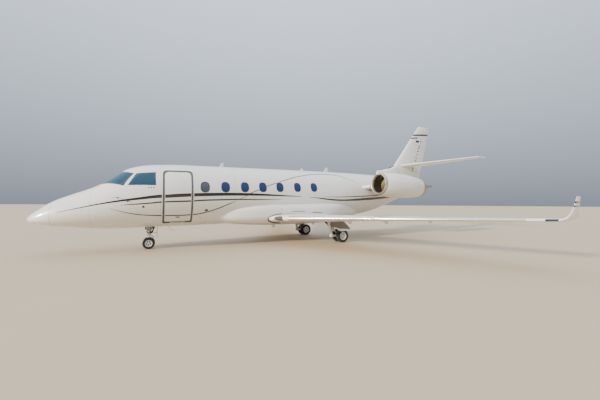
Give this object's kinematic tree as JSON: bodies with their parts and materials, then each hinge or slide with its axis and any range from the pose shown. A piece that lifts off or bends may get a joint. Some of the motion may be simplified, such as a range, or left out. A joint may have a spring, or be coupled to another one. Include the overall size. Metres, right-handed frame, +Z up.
{
  "type": "business jet",
  "caption": "Twin-engine swept-wing business jet on its landing gear, with hollow cabin, airstair door, control surfaces, fans and wheels that move.",
  "frame": {"origin": "on the ground, under the middle of the length, on the centreline", "axes": "+X aft along the length, +Y to the aircraft's right side, +Z up"},
  "size_m": [18.9698, 17.6992, 6.53],
  "materials": {
    "airframe_paint": "gloss",
    "grey_paint": "satin",
    "polished_leading_edge": "polished",
    "cockpit_glass": "gloss",
    "cabin_glass": "gloss",
    "carpet": "matte",
    "panel_plastic": "matte",
    "seat_leather": "satin",
    "bulkhead_trim": "satin",
    "engine_metal": "satin",
    "gear_paint": "satin",
    "gear_steel": "satin",
    "tyre_and_hub": "matte"
  },
  "bodies": {
    "airframe": {"radome": "airframe_paint", "nose_section": "airframe_paint", "cockpit_shell": "airframe_paint", "forward_cabin_shell": "airframe_paint", "centre_cabin_shell": "airframe_paint", "aft_fuselage": "airframe_paint", "belly_fairing": "airframe_paint", "fin": "airframe_paint", "dorsal_fairing": "airframe_paint", "wing_left": "airframe_paint", "wing_right": "airframe_paint", "nacelle_left": "airframe_paint", "nacelle_right": "airframe_paint", "winglet_left": "airframe_paint", "winglet_right": "airframe_paint", "main_gear_door_left": "airframe_paint", "main_gear_door_right": "airframe_paint", "tail_cone": "grey_paint", "pylon_left": "grey_paint", "pylon_right": "grey_paint", "windscreen_left": "cockpit_glass", "windscreen_right": "cockpit_glass", "cockpit_side_window_left": "cockpit_glass", "cockpit_side_window_right": "cockpit_glass", "cabin_window_strip_left": "cabin_glass", "cabin_window_strip_right": "cabin_glass", "cabin_floor": "carpet", "instrument_panel": "panel_plastic", "pilot_seat_left": "seat_leather", "pilot_seat_right": "seat_leather", "cabin_seats_left": "seat_leather", "cabin_seats_right": "seat_leather", "cockpit_bulkhead": "bulkhead_trim", "rear_bulkhead": "bulkhead_trim", "engine_core_left": "engine_metal", "engine_core_right": "engine_metal", "nose_leg": "gear_paint", "main_leg_left": "gear_paint", "main_leg_right": "gear_paint"},
    "nose_steering": {"nose_steering": "gear_steel"},
    "nose_wheels": {"nose_wheels": "tyre_and_hub"},
    "main_wheels_left": {"main_wheels_left": "tyre_and_hub"},
    "fan_left": {"fan_left": "engine_metal"},
    "elevator_left": {"elevator_left": "airframe_paint"},
    "aileron_left": {"aileron_left": "airframe_paint"},
    "flap_left": {"flap_left": "airframe_paint"},
    "slat_left": {"slat_left": "polished_leading_edge"},
    "main_wheels_right": {"main_wheels_right": "tyre_and_hub"},
    "fan_right": {"fan_right": "engine_metal"},
    "elevator_right": {"elevator_right": "airframe_paint"},
    "aileron_right": {"aileron_right": "airframe_paint"},
    "flap_right": {"flap_right": "airframe_paint"},
    "slat_right": {"slat_right": "polished_leading_edge"},
    "airstair_door": {"airstair_door": "airframe_paint"},
    "rudder": {"rudder": "airframe_paint"},
    "tailplane": {"tailplane_left": "airframe_paint", "tailplane_right": "airframe_paint"}
  },
  "joints": [
    {"name": "nose_steer", "type": "hinge", "parent": "airframe", "child": "nose_steering", "pos_m": [-6.15, 0, 0.5], "axis": [0, 0, 1], "range_deg": [-60, 60]},
    {"name": "nose_wheels_spin", "type": "hinge", "parent": "nose_steering", "child": "nose_wheels", "pos_m": [-6.15, 0, 0.205], "axis": [0, 1, 0], "continuous": true},
    {"name": "main_wheels_left_spin", "type": "hinge", "parent": "airframe", "child": "main_wheels_left", "pos_m": [1.255, -1.65, 0.285], "axis": [0, 1, 0], "continuous": true},
    {"name": "fan_left_spin", "type": "hinge", "parent": "airframe", "child": "fan_left", "pos_m": [3.289, -1.85, 2.62], "axis": [0.9994, 0, -0.035], "continuous": true},
    {"name": "main_wheels_right_spin", "type": "hinge", "parent": "airframe", "child": "main_wheels_right", "pos_m": [1.255, 1.65, 0.285], "axis": [0, 1, 0], "continuous": true},
    {"name": "fan_right_spin", "type": "hinge", "parent": "airframe", "child": "fan_right", "pos_m": [3.289, 1.85, 2.62], "axis": [0.9994, 0, -0.035], "continuous": true},
    {"name": "airstair_open", "type": "hinge", "parent": "airframe", "child": "airstair_door", "pos_m": [-5.2375, -0.64737, 0.985], "axis": [0.9998, 0, 0.02], "range_deg": [0, 106]},
    {"name": "rudder_turn", "type": "hinge", "parent": "airframe", "child": "rudder", "pos_m": [7.555, 0, 3.545], "axis": [0.3888, 0, 0.9213], "range_deg": [-25, 25]},
    {"name": "tailplane_trim", "type": "hinge", "parent": "airframe", "child": "tailplane", "pos_m": [7.415, 0, 3.955], "axis": [0, 1, 0], "range_deg": [-8, 2]},
    {"name": "flap_left_move", "type": "hinge", "parent": "airframe", "child": "flap_left", "pos_m": [0.71036, -2.45, 0.87677], "axis": [-0.3716, 0.9268, -0.0539], "range_deg": [0, 40]},
    {"name": "flap_right_move", "type": "hinge", "parent": "airframe", "child": "flap_right", "pos_m": [0.71036, 2.45, 0.87677], "axis": [0.3716, 0.9268, 0.0539], "range_deg": [0, 40]},
    {"name": "slat_left_move", "type": "hinge", "parent": "airframe", "child": "slat_left", "pos_m": [0.5518, -4.6, 0.73356], "axis": [0.4446, -0.8954, 0.0245], "range_deg": [0, 20]},
    {"name": "slat_right_move", "type": "hinge", "parent": "airframe", "child": "slat_right", "pos_m": [0.5518, 4.6, 0.73356], "axis": [-0.4446, -0.8954, -0.0245], "range_deg": [0, 20]},
    {"name": "aileron_left_move", "type": "hinge", "parent": "airframe", "child": "aileron_left", "pos_m": [2.22267, -6.23, 1.24131], "axis": [-0.3583, 0.9332, -0.0273], "range_deg": [-20, 20]},
    {"name": "aileron_right_move", "type": "hinge", "parent": "airframe", "child": "aileron_right", "pos_m": [2.22267, 6.23, 1.24131], "axis": [0.3583, 0.9332, 0.0273], "range_deg": [-20, 20]},
    {"name": "elevator_left_move", "type": "hinge", "parent": "tailplane", "child": "elevator_left", "pos_m": [7.9978, -0.64, 3.98058], "axis": [-0.3581, 0.9325, -0.0475], "range_deg": [-20, 15]},
    {"name": "elevator_right_move", "type": "hinge", "parent": "tailplane", "child": "elevator_right", "pos_m": [7.9978, 0.64, 3.98058], "axis": [0.3581, 0.9325, 0.0475], "range_deg": [-20, 15]}
  ],
  "couplings": [
    {"joint": "flap_right_move", "follows": "flap_left_move", "ratio": 1},
    {"joint": "slat_right_move", "follows": "slat_left_move", "ratio": 1},
    {"joint": "aileron_right_move", "follows": "aileron_left_move", "ratio": -1},
    {"joint": "elevator_right_move", "follows": "elevator_left_move", "ratio": 1}
  ]
}
